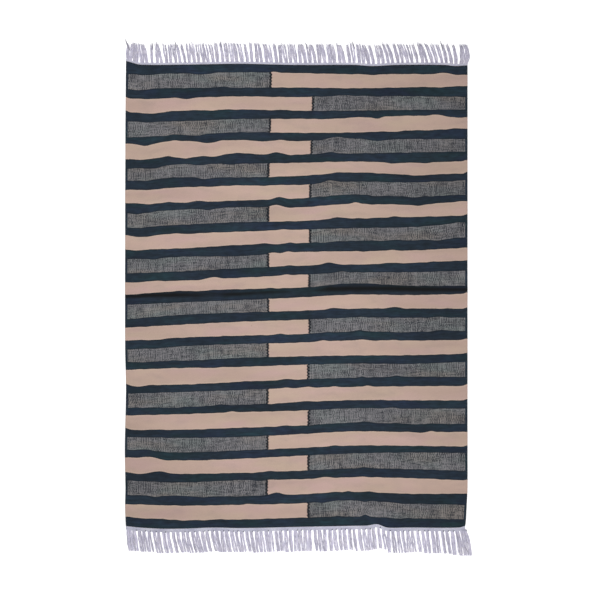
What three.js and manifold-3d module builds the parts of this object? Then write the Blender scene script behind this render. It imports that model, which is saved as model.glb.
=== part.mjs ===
// A flat-woven cotton rug lying open on the floor, with its warp ends left as a fringe at both ends.
// Sizes are in millimetres. +X runs along the wefts, +Y along the warps, and the rug rests on Z = 0.

import * as THREE from 'three';
import { mergeVertices } from 'three/addons/utils/BufferGeometryUtils.js';
import Module from 'manifold-3d';

const wasm = await Module();
wasm.setup();

// The woven cloth is one sheet, and each fringe is parted from its end edge by a hair.
const HALF_WIDTH = 600;
const CLOTH_THICKNESS = 4;
const PIECE_GAP = 0.3;

// Where the two selvedges lie, from the near end to the far end.
const SELVEDGES = [
  { along: -812, left: -600, right: 589 },
  { along: -800, left: -601, right: 593 },
  { along: -737, left: -603, right: 597 },
  { along: -674, left: -602, right: 600 },
  { along: -540, left: -604, right: 600 },
  { along: -330, left: -600, right: 600 },
  { along: -170, left: -603, right: 600 },
  { along: 200, left: -603, right: 600 },
  { along: 585, left: -602, right: 600 },
  { along: 827, left: -600, right: 600 },
];

// Where the last wefts lie at the far end: they ride up at the left corner.
const FAR_EDGE = [
  { across: -600, along: 827 },
  { across: -575, along: 820 },
  { across: -550, along: 814 },
  { across: -400, along: 814 },
  { across: -200, along: 817 },
  { across: 0, along: 813 },
  { across: 200, along: 813 },
  { across: 265, along: 809 },
  { across: 350, along: 813 },
  { across: 520, along: 813 },
  { across: 555, along: 809 },
  { across: 600, along: 811 },
];

// Where the last wefts lie at the near end: a hump right of the middle, and the right corner drawn in.
const NEAR_EDGE = [
  { across: -600, along: -807 },
  { across: -550, along: -812 },
  { across: -480, along: -816 },
  { across: -400, along: -816 },
  { across: -285, along: -812 },
  { across: -200, along: -814 },
  { across: 0, along: -810 },
  { across: 205, along: -806 },
  { across: 255, along: -805 },
  { across: 287, along: -800 },
  { across: 326, along: -812 },
  { across: 400, along: -812 },
  { across: 580, along: -812 },
  { across: 600, along: -806 },
];

// The crease left by folding the rug in half stands up as a soft ridge along one weft.
const FOLD_HEIGHT = 3;
const FOLD_HALF_WIDTH = 14;
const FOLD_LINE = [
  { across: -600, along: 2 },
  { across: -400, along: 6 },
  { across: 0, along: 15 },
  { across: 400, along: 22 },
  { across: 600, along: 26 },
];

// The selvedges lift off the floor in low waves, where the wefts were beaten in unevenly.
const WAVE_HEIGHT = 1.5;
const WAVE_REACH = 75;
const WAVE_LENGTH = 270;

// The sheet's grid: columns along the wefts, rows across the ridge, and rows from there to each end.
const COLUMNS = 24;
const RIDGE_ROWS = 3;
const FLAT_ROWS = 10;
const SIDE_ROWS = RIDGE_ROWS + FLAT_ROWS;

// A lock is a bundle of warp ends that lies on the floor: wide and flat below, narrower on top.
const LOCK_STEPS = 4;
const LOCK_TOP_SHARE = 0.55;
const LOCK_TIP_WIDTH_SHARE = 0.72;
const LOCK_TIP_HEIGHT_SHARE = 0.55;
const LEAN_CURVE = 1.3;

// The most that one lock strays from the tables below, each way. A kind is a row of strays of its own,
// and the step, the golden ratio's fraction, keeps neighbouring locks from straying alike.
const STRAYS = {
  width: { kind: 0, most: 0.9 },
  lean: { kind: 1, most: 2.6 },
  length: { kind: 2, most: 2.2 },
  across: { kind: 3, most: 1.6 },
};
const STRAY_STEP = 0.618034;

// The heading is the white band that a fringe's locks come out of. Each table gives, across the rug,
// the spacing of the locks, their width, how far their tips stand to the right of their roots, how far
// their middles bow out to the right, and their length past the heading.
const FAR_FRINGE = {
  name: 'fringe_far',
  edge: FAR_EDGE,
  outward: 1,
  heading: { width: 6, height: 3.6, root: 3 },
  lockHeight: 3.2,
  locks: [
    { across: -589, pitch: 24, width: 18, lean: 0, bow: 0, length: 54 },
    { across: -565, pitch: 22, width: 18, lean: -3, bow: 2, length: 66 },
    { across: -530, pitch: 17, width: 10, lean: -9, bow: 0, length: 66 },
    { across: -200, pitch: 17.1, width: 10.5, lean: -11, bow: 0, length: 65 },
    { across: 120, pitch: 17.1, width: 10.5, lean: -11, bow: 0, length: 65 },
    { across: 260, pitch: 17.1, width: 10, lean: -15, bow: 1, length: 66 },
    { across: 540, pitch: 17, width: 9.5, lean: -19, bow: 1, length: 65 },
    { across: 576, pitch: 17, width: 14, lean: -4, bow: 4, length: 66 },
    { across: 596, pitch: 17, width: 14, lean: -3, bow: 8, length: 66 },
  ],
};

const NEAR_FRINGE = {
  name: 'fringe_near',
  edge: NEAR_EDGE,
  outward: -1,
  heading: { width: 13, height: 4.4, root: 7 },
  lockHeight: 3.4,
  locks: [
    { across: -590, pitch: 19, width: 16, lean: 7, bow: 0, length: 68 },
    { across: -560, pitch: 17, width: 11, lean: 12, bow: 0, length: 69 },
    { across: -380, pitch: 17.2, width: 10.5, lean: 17, bow: -1, length: 68 },
    { across: -200, pitch: 17.2, width: 11, lean: 13, bow: 0, length: 68 },
    { across: 0, pitch: 17.2, width: 11, lean: 6, bow: 0, length: 69 },
    { across: 250, pitch: 17.2, width: 10.5, lean: 9, bow: 0, length: 70 },
    { across: 480, pitch: 17.2, width: 10, lean: 12, bow: 1, length: 73 },
    { across: 550, pitch: 19, width: 12, lean: 11, bow: 2, length: 78 },
    { across: 585, pitch: 22, width: 22, lean: 16, bow: 5, length: 82 },
  ],
};

const COLORS = { cloth: 0x7f7470, fringe: 0xd9d6e2 };

// Reads a column of a table at any place, on a smooth line through its rows.
function smoothAt(rows, key, column, at) {
  const last = rows.length - 1;
  const slopeAt = (index) => {
    const before = rows[Math.max(index - 1, 0)];
    const after = rows[Math.min(index + 1, last)];
    return (after[column] - before[column]) / (after[key] - before[key]);
  };
  let low = 0;
  while (low < last - 1 && at > rows[low + 1][key]) {
    low += 1;
  }
  const span = rows[low + 1][key] - rows[low][key];
  const share = THREE.MathUtils.clamp((at - rows[low][key]) / span, 0, 1);
  const rest = 1 - share;
  const eased = share * share * (3 - 2 * share);
  const straight = rows[low][column] * (1 - eased) + rows[low + 1][column] * eased;
  const turned = slopeAt(low) * share * rest * rest - slopeAt(low + 1) * share * share * rest;
  return straight + span * turned;
}

// How far lock number `index` strays from the tables.
function stray(index, { kind, most }) {
  const turns = ((index + 1) * (kind + 1) + kind * STRAY_STEP) * STRAY_STEP;
  return most * (2 * (turns - Math.floor(turns)) - 1);
}

// How high the cloth's underside stands off the floor.
function liftAt(across, along, left, right) {
  const fromFold = Math.abs(along - smoothAt(FOLD_LINE, 'across', 'along', across));
  const ridge = fromFold < FOLD_HALF_WIDTH ? 1 + Math.cos((Math.PI * fromFold) / FOLD_HALF_WIDTH) : 0;
  const fromSelvedge = Math.min(across - left, right - across);
  const reach = Math.max(0, 1 - fromSelvedge / WAVE_REACH);
  const side = across < 0 ? 0 : 1;
  const wave = Math.max(0, Math.sin((2 * Math.PI * along) / WAVE_LENGTH + side));
  return 0.5 * FOLD_HEIGHT * ridge + WAVE_HEIGHT * reach * reach * wave;
}

// Where a row of the sheet's grid, counted from the near end, crosses the cloth.
function rowAlong(row, across) {
  const side = Math.sign(row - SIDE_ROWS);
  const steps = Math.abs(row - SIDE_ROWS);
  const fold = smoothAt(FOLD_LINE, 'across', 'along', across);
  const ridgeFoot = fold + side * FOLD_HALF_WIDTH;
  if (steps <= RIDGE_ROWS) {
    return THREE.MathUtils.lerp(fold, ridgeFoot, steps / RIDGE_ROWS);
  }
  const end = smoothAt(side > 0 ? FAR_EDGE : NEAR_EDGE, 'across', 'along', across);
  return THREE.MathUtils.lerp(ridgeFoot, end, (steps - RIDGE_ROWS) / FLAT_ROWS);
}

// A closed box cut into columns and rows. place(u, v, w) puts each corner where it belongs: u and v run
// from 0 to 1 along the columns and rows, and w is 0 on the underside and 1 on the top.
function shapedBox(columns, rows, place) {
  const geometry = new THREE.BoxGeometry(1, 1, 1, columns, rows, 1);
  geometry.deleteAttribute('normal');
  geometry.deleteAttribute('uv');
  const merged = mergeVertices(geometry);
  const position = merged.getAttribute('position');
  for (let index = 0; index < position.count; index += 1) {
    const corner = new THREE.Vector3().fromBufferAttribute(position, index).addScalar(0.5);
    const placed = place(corner.x, corner.y, corner.z);
    position.setXYZ(index, placed.x, placed.y, placed.z);
  }
  return merged;
}

function toSolid(geometry) {
  return new wasm.Manifold(new wasm.Mesh({
    numProp: 3,
    vertProperties: new Float32Array(geometry.getAttribute('position').array),
    triVerts: new Uint32Array(geometry.getIndex().array),
  }));
}

function toGeometry(solid) {
  const mesh = solid.getMesh();
  const geometry = new THREE.BufferGeometry();
  geometry.setAttribute('position', new THREE.BufferAttribute(mesh.vertProperties, mesh.numProp));
  geometry.setIndex(new THREE.BufferAttribute(mesh.triVerts, 1));
  return geometry;
}

function namedMesh(name, geometry, color) {
  geometry.computeVertexNormals();
  const material = new THREE.MeshStandardMaterial({ color, roughness: 0.95, metalness: 0, flatShading: true });
  const mesh = new THREE.Mesh(geometry, material);
  mesh.name = name;
  return mesh;
}

// The woven field, with the outline, the folding ridge and the low waves of its selvedges.
function buildField() {
  const geometry = shapedBox(COLUMNS, 2 * SIDE_ROWS, (u, v, w) => {
    const nominal = THREE.MathUtils.lerp(-HALF_WIDTH, HALF_WIDTH, u);
    const along = rowAlong(Math.round(v * 2 * SIDE_ROWS), nominal);
    const left = smoothAt(SELVEDGES, 'along', 'left', along);
    const right = smoothAt(SELVEDGES, 'along', 'right', along);
    const across = THREE.MathUtils.lerp(left, right, u);
    const underside = liftAt(across, along, left, right);
    return new THREE.Vector3(across, along, underside + w * CLOTH_THICKNESS);
  });
  return namedMesh('rug_field', geometry, COLORS.cloth);
}

// The strip that the locks grow from, along the cloth's end edge.
function headingStrip(fringe) {
  const { edge, outward, heading } = fringe;
  return shapedBox(COLUMNS, 1, (u, v, w) => {
    const nominal = THREE.MathUtils.lerp(-HALF_WIDTH, HALF_WIDTH, u);
    const inner = smoothAt(edge, 'across', 'along', nominal);
    const left = smoothAt(SELVEDGES, 'along', 'left', inner);
    const right = smoothAt(SELVEDGES, 'along', 'right', inner);
    const outer = outward > 0 ? v : 1 - v;
    const along = inner + outward * (PIECE_GAP + outer * heading.width);
    return new THREE.Vector3(THREE.MathUtils.lerp(left, right, u), along, w * heading.height);
  });
}

// One lock, from its root inside the heading to its tip, level on the floor all the way.
function lock(fringe, index, at) {
  const { edge, outward, heading, lockHeight, locks } = fringe;
  const read = (column) => smoothAt(locks, 'across', column, at);
  const width = read('width') + stray(index, STRAYS.width);
  const lean = read('lean') + stray(index, STRAYS.lean);
  const length = read('length') + stray(index, STRAYS.length);
  const rootAcross = at + stray(index, STRAYS.across);
  const rootAlong = smoothAt(edge, 'across', 'along', rootAcross) + outward * (PIECE_GAP + heading.root);
  const reach = heading.width - heading.root + length;
  return shapedBox(1, LOCK_STEPS, (u, v, w) => {
    const out = outward > 0 ? v : 1 - v;
    const middle = rootAcross + lean * out ** LEAN_CURVE + read('bow') * Math.sin(Math.PI * out);
    const spread = width * THREE.MathUtils.lerp(1, LOCK_TIP_WIDTH_SHARE, out);
    const halfWidth = 0.5 * spread * (w > 0.5 ? LOCK_TOP_SHARE : 1);
    const height = lockHeight * THREE.MathUtils.lerp(1, LOCK_TIP_HEIGHT_SHARE, out);
    const across = middle + THREE.MathUtils.lerp(-halfWidth, halfWidth, u);
    return new THREE.Vector3(across, rootAlong + outward * out * reach, w * height);
  });
}

// A heading with its locks fused to it at their roots.
function buildFringe(fringe) {
  const { locks } = fringe;
  const end = locks[locks.length - 1].across;
  let solid = toSolid(headingStrip(fringe));
  let index = 0;
  for (let at = locks[0].across; at <= end + 1; at += smoothAt(locks, 'across', 'pitch', at)) {
    solid = solid.add(toSolid(lock(fringe, index, at)));
    index += 1;
  }
  return namedMesh(fringe.name, toGeometry(solid), COLORS.fringe);
}

const rug = new THREE.Group();
rug.add(buildField());
rug.add(buildFringe(FAR_FRINGE));
rug.add(buildFringe(NEAR_FRINGE));

// The origin is on the floor, under the middle of the whole rug with its fringes.
const bounds = new THREE.Box3().setFromObject(rug);
const middle = bounds.getCenter(new THREE.Vector3());
rug.position.set(-middle.x, -middle.y, -bounds.min.z);

export default rug;
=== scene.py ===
# %% [markdown]
# # A flat-woven cotton rug, seen from straight above
# The rug is a dhurrie: white cotton warps run its length, and coloured wefts are beaten down so hard that
# they hide the warps. Navy stripes cross it from selvedge to selvedge. Between two stripes lies a light row
# that is part plain beige and part pinstriped grey, and the grey block changes sides from row to row. The
# warp ends are left as a fringe at both ends. This lesson builds the cloth, the fringes and the small turns
# of yarn, and then their finishes.

# %% [markdown]
# ## Start from the fixed frame
# The rug's solid model is loaded first, and everything is placed from it. Its box is kept now, before any
# new piece is made.

# %% Load the frame
import math

import bpy
import numpy as np
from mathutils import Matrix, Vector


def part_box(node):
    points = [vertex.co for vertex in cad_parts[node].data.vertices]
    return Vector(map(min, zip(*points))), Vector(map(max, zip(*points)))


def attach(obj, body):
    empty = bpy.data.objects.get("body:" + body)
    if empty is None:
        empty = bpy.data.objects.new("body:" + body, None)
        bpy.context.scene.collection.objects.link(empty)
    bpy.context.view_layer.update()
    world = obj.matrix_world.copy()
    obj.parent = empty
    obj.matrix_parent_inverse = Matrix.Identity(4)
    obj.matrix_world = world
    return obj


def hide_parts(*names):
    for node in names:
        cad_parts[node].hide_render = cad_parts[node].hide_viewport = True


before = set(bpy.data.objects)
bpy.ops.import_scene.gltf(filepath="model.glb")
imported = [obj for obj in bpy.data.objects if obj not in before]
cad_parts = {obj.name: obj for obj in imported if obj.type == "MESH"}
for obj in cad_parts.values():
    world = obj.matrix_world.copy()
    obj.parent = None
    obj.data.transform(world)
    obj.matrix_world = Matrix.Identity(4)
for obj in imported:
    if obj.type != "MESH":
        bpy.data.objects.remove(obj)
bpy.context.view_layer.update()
MM = 0.001

# %% [markdown]
# ## The outline of the cloth
# A hand-woven rug is never a true rectangle. Its selvedges wander by a few millimetres, the last wefts ride
# up at one corner, and one corner is drawn in. Each line below is a short table of sizes in millimetres,
# measured from the middle of the cloth. A smooth curve through the rows gives every place between them.

# %% Outline tables
HALF_WIDTH = 600
CLOTH_THICKNESS = 4
PIECE_GAP = 0.3


def table(columns, *rows):
    """Rows of numbers under the names of their columns."""
    return [dict(zip(columns.split(), row)) for row in rows]


SELVEDGES = table(
    "along left right",
    (-812, -600, 589),
    (-800, -601, 593),
    (-737, -603, 597),
    (-674, -602, 600),
    (-540, -604, 600),
    (-330, -600, 600),
    (-170, -603, 600),
    (200, -603, 600),
    (585, -602, 600),
    (827, -600, 600),
)

FAR_EDGE = table(
    "across along",
    (-600, 827), (-575, 820), (-550, 814), (-400, 814), (-200, 817), (0, 813), (200, 813), (265, 809),
    (350, 813), (520, 813), (555, 809), (600, 811),
)

NEAR_EDGE = table(
    "across along",
    (-600, -807), (-550, -812), (-480, -816), (-400, -816), (-285, -812), (-200, -814), (0, -810),
    (205, -806), (255, -805), (287, -800), (326, -812), (400, -812), (580, -812), (600, -806),
)

FOLD_LINE = table(
    "across along",
    (-600, 2), (-400, 6), (0, 15), (400, 22), (600, 26),
)


def smooth_line(place, value, at):
    """Reads a smooth curve through (place, value) at any places."""
    place = np.asarray(place, float)
    value = np.asarray(value, float)
    last = len(place) - 1
    index = np.arange(last + 1)
    before = np.maximum(index - 1, 0)
    after = np.minimum(index + 1, last)
    slope = (value[after] - value[before]) / (place[after] - place[before])
    at = np.asarray(at, float)
    low = np.clip(np.searchsorted(place, at) - 1, 0, last - 1)
    span = place[low + 1] - place[low]
    share = np.clip((at - place[low]) / span, 0, 1)
    rest = 1 - share
    eased = share * share * (3 - 2 * share)
    straight = value[low] * (1 - eased) + value[low + 1] * eased
    turned = slope[low] * share * rest * rest - slope[low + 1] * share * share * rest
    return straight + span * turned


def smooth_at(rows, key, column, at):
    """Reads a column of a table at any places."""
    return smooth_line([row[key] for row in rows], [row[column] for row in rows], at)


# %% [markdown]
# The tables are measured from the middle of the cloth, and the frame from the middle of the whole rug with
# its fringes. The frame's own cloth gives the small step from one to the other.

# %% Step from the tables to the frame
cloth_low, cloth_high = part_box("rug_field")
FAR_CORNER = max(row["along"] for row in FAR_EDGE)
LEFT_MOST = min(row["left"] for row in SELVEDGES)
RIGHT_MOST = max(row["right"] for row in SELVEDGES)
step_across = (cloth_low.x + cloth_high.x) / 2 - (LEFT_MOST + RIGHT_MOST) / 2 * MM
step_along = cloth_high.y - FAR_CORNER * MM


def to_frame(across, along, height):
    """Places in the frame, in metres, from millimetres measured at the middle of the cloth."""
    across, along, height = np.broadcast_arrays(across, along, height)
    return np.stack([across * MM + step_across, along * MM + step_along, height * MM], axis=-1)


print(f"the tables' middle lies at {step_across * 1000:.2f}, {step_along * 1000:.2f} mm in the frame")

# %% [markdown]
# ## Camera, floor and light
# The rug is photographed from straight above, square on, with no visible perspective, so a long lens looks
# down from far away. The floor is plain and pale, and glows a little so that it comes out white. A soft sky
# lights everything evenly, and a wide, weak sun stands over the near end: it brightens the near side of the
# fold and leaves its far side darker.

# %% Camera
VIEW_WIDTH = 2109
VIEW_MIDDLE = (11.4, -12.8)
CAMERA_HEIGHT = 14

camera_data = bpy.data.cameras.new("camera")
camera_data.sensor_width = 36
camera_data.lens = camera_data.sensor_width * CAMERA_HEIGHT / (VIEW_WIDTH * MM)
camera = bpy.data.objects.new("camera", camera_data)
camera.location = to_frame(*VIEW_MIDDLE, CAMERA_HEIGHT / MM)
bpy.context.collection.objects.link(camera)
bpy.context.scene.camera = camera
print(f"camera lens {camera_data.lens:.0f} mm, {CAMERA_HEIGHT} m up")

# %% Floor
FLOOR_SIZE = 60
FLOOR_DROP = 0.4
FLOOR_COLOR = (0.93, 0.93, 0.93, 1)
WHITE = (1, 1, 1, 1)
FLOOR_GLOW = 0.38
FLOOR_ROUGHNESS = 0.9
FLOOR_GLOSS = 0.1

floor_mesh = bpy.data.meshes.new("floor")
half_floor = FLOOR_SIZE / 2
floor_signs = ((-1, -1), (1, -1), (1, 1), (-1, 1))
floor_corners = [(x * half_floor, y * half_floor, -FLOOR_DROP * MM) for x, y in floor_signs]
floor_mesh.from_pydata(floor_corners, [], [(0, 1, 2, 3)])
floor = bpy.data.objects.new("floor", floor_mesh)
bpy.context.collection.objects.link(floor)

floor_material = bpy.data.materials.new("pale floor")
floor_material.use_nodes = True
floor_shader = floor_material.node_tree.nodes["Principled BSDF"].inputs
floor_shader["Base Color"].default_value = FLOOR_COLOR
floor_shader["Roughness"].default_value = FLOOR_ROUGHNESS
floor_shader["Specular IOR Level"].default_value = FLOOR_GLOSS
floor_shader["Emission Color"].default_value = WHITE
floor_shader["Emission Strength"].default_value = FLOOR_GLOW
floor_mesh.materials.append(floor_material)
print(f"floor {FLOOR_SIZE} m wide, {FLOOR_DROP} mm under the rug")

# %% [markdown]
# The light falls off a little towards the rug's sides, as it does under a long soft box hung over the middle.
# The strengths of the sky, the sun and the box are chosen together, so that a white, level surface in the
# middle comes out at `LEVEL`.

# %% Lights
LEVEL = 1.15
SKY_STRENGTH = 0.45
SUN_STRENGTH = 1.28
SUN_SPREAD = math.radians(25)
SUN_TILT = math.radians(38)
BOX_WIDTH = 0.5
BOX_LENGTH = 2.5
BOX_HEIGHT = 1.0
BOX_ACROSS = -0.09
BOX_TURN = math.radians(14)
BOX_POWER = 7.3

sky = bpy.data.worlds.new("soft sky")
sky.use_nodes = True
sky_light = sky.node_tree.nodes["Background"].inputs
sky_light["Color"].default_value = WHITE
sky_light["Strength"].default_value = SKY_STRENGTH
bpy.context.scene.world = sky

sun_data = bpy.data.lights.new("near sun", "SUN")
sun_data.energy = SUN_STRENGTH
sun_data.angle = SUN_SPREAD
sun = bpy.data.objects.new("near sun", sun_data)
sun.rotation_euler = (SUN_TILT, 0, 0)
bpy.context.collection.objects.link(sun)

box_data = bpy.data.lights.new("soft box", "AREA")
box_data.shape = "RECTANGLE"
box_data.size = BOX_WIDTH
box_data.size_y = BOX_LENGTH
box_data.energy = BOX_POWER
box = bpy.data.objects.new("soft box", box_data)
box.location = (BOX_ACROSS, 0, BOX_HEIGHT)
box.rotation_euler = (0, 0, BOX_TURN)
box.visible_camera = False
bpy.context.collection.objects.link(box)
bpy.context.scene.view_settings.view_transform = "Standard"
print("a sky, a sun and a soft box, for a level of", LEVEL)

# %% [markdown]
# ## The stripe chart
# The weaver beat each stripe in by eye, so no two are alike: they slope, swell and thin out. The chart gives
# each navy stripe at seven places across the rug. The first list is how far its middle lies from an even
# pitch, and the second is its width, both in millimetres.

# %% Stripe chart
STRIPE_PITCH = 80
FIRST_STRIPE = 798
CHART_ACROSS = (-590, -400, -200, 0, 200, 400, 590)
STRIPES = table(
    "off wide",
    ((3, 0, 3, 1, -1, -1, -3), (38, 28, 26, 27, 31, 30, 32)),
    ((-5, -3, 0, -1, 0, 1, 2), (32, 33, 29, 32, 25, 30, 37)),
    ((-7, -4, 2, 0, 2, 7, 5), (32, 36, 32, 27, 24, 19, 26)),
    ((-10, -2, 5, 2, 7, 10, 13), (19, 20, 26, 28, 20, 29, 35)),
    ((-13, -2, 6, 6, 10, 10, 14), (34, 21, 35, 28, 27, 34, 33)),
    ((-7, 3, 6, 9, 21, 16, 22), (33, 34, 27, 30, 31, 26, 22)),
    ((-8, -1, 7, 10, 24, 18, 28), (34, 23, 22, 30, 31, 28, 21)),
    ((-10, -2, 6, 11, 19, 23, 33), (28, 30, 32, 29, 33, 34, 24)),
    ((-11, -4, 3, 13, 19, 21, 31), (32, 28, 38, 30, 35, 34, 35)),
    ((-13, -6, 4, 13, 20, 23, 30), (30, 31, 32, 30, 27, 31, 35)),
    ((-10, 1, 8, 15, 28, 23, 25), (34, 39, 37, 33, 38, 31, 27)),
    ((-13, 0, 9, 15, 23, 23, 23), (28, 33, 31, 30, 30, 31, 30)),
    ((-9, 2, 9, 14, 23, 22, 25), (31, 29, 28, 28, 29, 29, 30)),
    ((-2, 3, 10, 16, 20, 20, 26), (26, 23, 30, 28, 27, 29, 27)),
    ((-5, -1, 7, 15, 20, 23, 23), (28, 25, 27, 28, 31, 32, 30)),
    ((-3, 1, 8, 15, 23, 22, 22), (25, 24, 24, 28, 27, 28, 27)),
    ((1, -1, 4, 12, 23, 19, 20), (26, 27, 31, 28, 29, 26, 27)),
    ((10, 0, 6, 15, 24, 25, 23), (26, 27, 28, 26, 26, 22, 21)),
    ((8, 3, 9, 14, 22, 19, 12), (26, 29, 24, 28, 30, 30, 32)),
    ((8, 4, 5, 10, 20, 11, 9), (31, 33, 29, 30, 28, 33, 38)),
    ((10, 1, 2, 8, 11, 6, 5), (33, 29, 30, 30, 32, 32, 25)),
)
BANDS = 2 * len(STRIPES) - 1
print(len(STRIPES), "stripes and", BANDS - len(STRIPES), "light rows")

# %% [markdown]
# Between the chart's places the edges swing. Where the weaver packed a few more wefts on one side, an edge
# bulges, and at a selvedge the last warps are pulled tight, so an edge hooks up. Each swing says where along
# the rug's width it is, how far the edge moves towards the far end, and how far it reaches to each side. The
# last small bumps of the beat are a few waves with seeded starts, because no two of them need to be copied.

# %% Swings of the stripe edges
SWINGS = {
    (1, "near"): ((-530, -4.8, 60), (-335, -5.5, 55), (-80, 2.6, 30), (270, -2.5, 50), (515, 6, 45)),
    (2, "far"): ((-550, -6.5, 50), (-265, 4, 40), (505, -3.5, 40)),
    (2, "near"): ((-600, 5, 12), (-520, -3.5, 80), (-385, -4.8, 35), (165, 3, 35), (280, -2.5, 50)),
    (3, "far"): ((-600, 6, 20), (-510, -7.5, 90), (-300, -2.5, 40), (-40, 2.2, 40)),
    (3, "near"): (
        (-520, -3, 60), (100, -2.5, 60), (215, 2.5, 30), (283, -6, 30), (490, 5.5, 50), (565, -2.5, 25),
    ),
    (4, "far"): ((-430, 3.5, 35), (-350, -4, 50), (350, -3, 40), (465, -2.5, 40), (560, 2, 30)),
    (4, "near"): (
        (-530, -11, 60), (-425, 4, 35), (-310, -9, 60), (-130, -3, 50), (-50, 4.5, 35), (140, 8.5, 55),
        (285, -8, 75),
    ),
    (5, "far"): (
        (-545, -4, 50), (-455, 6.5, 50), (-385, -3.5, 30), (-285, -5, 45), (-210, 2.2, 35),
        (-130, -4, 40), (-68, 6, 35), (-20, -2.5, 25), (115, 6.5, 50),
    ),
    (5, "near"): (
        (-500, -8, 55), (-340, -5.5, 55), (-230, -2.5, 40), (340, -3.5, 60), (450, -2.5, 50),
        (598, 4, 20),
    ),
    (6, "far"): ((-530, -6, 70), (-320, -7, 45), (150, 2.5, 40), (430, -3.5, 50), (598, 6, 12)),
    (6, "near"): (
        (-510, -4, 60), (-300, -2.5, 35), (-120, -2, 40), (-55, 2, 35), (120, 9, 45), (540, -2, 40),
    ),
    (7, "far"): (
        (-520, -4.5, 50), (-450, 3, 30), (-345, 5, 35), (-62, 8, 35), (275, -4, 45), (415, -2.5, 40),
    ),
    (7, "near"): (
        (-560, -6, 35), (-520, -3, 40), (-305, -6.5, 45), (-70, 10, 40), (210, 4, 25), (265, -2.5, 30),
        (345, 2.5, 30), (430, -3.5, 40),
    ),
    (8, "far"): ((-545, -4, 60), (140, 6, 50), (250, -2, 30), (345, 3, 35), (598, 5, 12)),
    (8, "near"): (
        (-600, 3, 20), (-535, -6.5, 70), (-430, 2.5, 25), (-375, -2, 35), (-50, 3.5, 40), (558, 3.5, 35),
    ),
    (9, "far"): (
        (-550, -3.5, 40), (-115, 3, 30), (-60, -2, 20), (-22, 3.5, 20), (95, -2.5, 30), (350, 3, 40),
        (500, -5, 50),
    ),
    (9, "near"): ((-500, -5, 60), (-85, 4, 30), (-30, 4, 30), (230, -2, 25), (335, 3, 40)),
    (10, "far"): ((-27, 4, 25), (112, 8.5, 50), (235, -2, 30), (335, 3, 40), (475, 2, 30)),
    (10, "near"): (
        (-560, -2, 30), (-500, 2.5, 40), (-355, -2, 25), (-292, 6.5, 45), (-35, 3.5, 30), (160, 6, 30),
    ),
    (11, "far"): ((-340, -3.5, 50), (-90, 2.5, 30), (70, -2.5, 30)),
    (11, "near"): ((598, 5, 15),),
    (12, "far"): ((130, 5, 35), (345, 5, 40), (598, 4, 15)),
    (12, "near"): ((225, 2.5, 25), (505, 3, 40)),
    (13, "far"): ((-500, -3.5, 70), (-60, 3, 30), (100, 3, 30), (218, 5, 30), (360, -2, 40), (510, 5, 45)),
    (13, "near"): ((-480, -3, 60), (90, 3.5, 35), (235, 3, 25), (275, -2, 25), (345, 2, 30), (598, 4, 15)),
    (14, "far"): ((-550, -2.5, 40), (-430, 3, 40), (598, 3, 15)),
    (14, "near"): ((-310, -2, 50),),
    (15, "far"): (
        (-600, 4.5, 15), (-555, -5, 45), (-180, 2.5, 30), (-40, 3.5, 30), (225, 2.5, 20), (350, 3, 45),
    ),
    (15, "near"): ((-40, 2.5, 25), (40, 3.5, 25), (130, 3, 25), (248, 5, 22), (598, 6, 12)),
    (16, "far"): ((-430, -2.5, 60), (-265, 4.5, 40), (-85, -2.5, 25), (30, 3.5, 30), (598, 5, 12)),
    (16, "near"): ((-225, 3, 30), (335, 2.5, 40)),
    (17, "far"): (
        (-600, 4.5, 15), (-550, -2.5, 40), (-40, 3.5, 30), (240, 5, 35), (350, 3.5, 35), (480, 2.5, 40),
    ),
    (17, "near"): ((435, -2.5, 25), (475, 3.5, 20)),
    (18, "far"): ((-525, 4, 40), (-440, -2, 30), (130, 2.5, 25), (598, 4, 12)),
    (18, "near"): ((-515, 7.5, 45), (-455, -2, 25)),
    (19, "far"): (
        (-600, 3.5, 20), (-550, -3, 30), (-480, 9, 45), (-150, -2, 25), (-95, 3.5, 35), (240, 3.5, 35),
    ),
    (19, "near"): ((-130, -4.5, 35), (100, 4, 40), (230, 2.5, 30), (598, 3, 12)),
    (20, "far"): (
        (-495, -5, 40), (-330, -4.5, 55), (-220, -1.5, 40), (-72, 10, 38), (125, 2.5, 30), (180, 3, 20),
        (250, 2.5, 25),
    ),
    (20, "near"): ((-165, 2.5, 30), (95, -3.5, 40), (240, -5, 25), (375, -2, 40)),
    (21, "far"): (
        (-545, -2.5, 40), (-395, -2.5, 30), (-265, 2.5, 40), (150, 2.5, 45), (245, 9, 20),
        (360, -2.5, 50),
    ),
}
SWING_SPREAD = 0.62
BORDER_BITE = 1
BUMP_HEIGHT = 0.35
BUMP_LENGTHS = (41, 62, 97)

beat = np.random.default_rng(21)


def band_edges(across):
    """Where the edges of all the bands cross the cloth: far edge of stripe 1, its near edge, and so on."""
    lines = []
    for number, stripe in enumerate(STRIPES, start=1):
        middle = FIRST_STRIPE - (number - 1) * STRIPE_PITCH + smooth_line(CHART_ACROSS, stripe["off"], across)
        half = smooth_line(CHART_ACROSS, stripe["wide"], across) / 2 + BORDER_BITE
        for side, line in (("far", middle + half), ("near", middle - half)):
            for place, rise, reach in SWINGS.get((number, side), ()):
                line = line + rise * np.exp(-(((across - place) / (SWING_SPREAD * reach)) ** 2))
            for length in BUMP_LENGTHS:
                line = line + BUMP_HEIGHT * np.sin(2 * np.pi * (across / length + beat.random()))
            lines.append(line)
    lines[0] = smooth_at(FAR_EDGE, "across", "along", across)
    lines[-1] = smooth_at(NEAR_EDGE, "across", "along", across)
    return np.array(lines)


print(sum(len(swings) for swings in SWINGS.values()), "swings")

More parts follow.
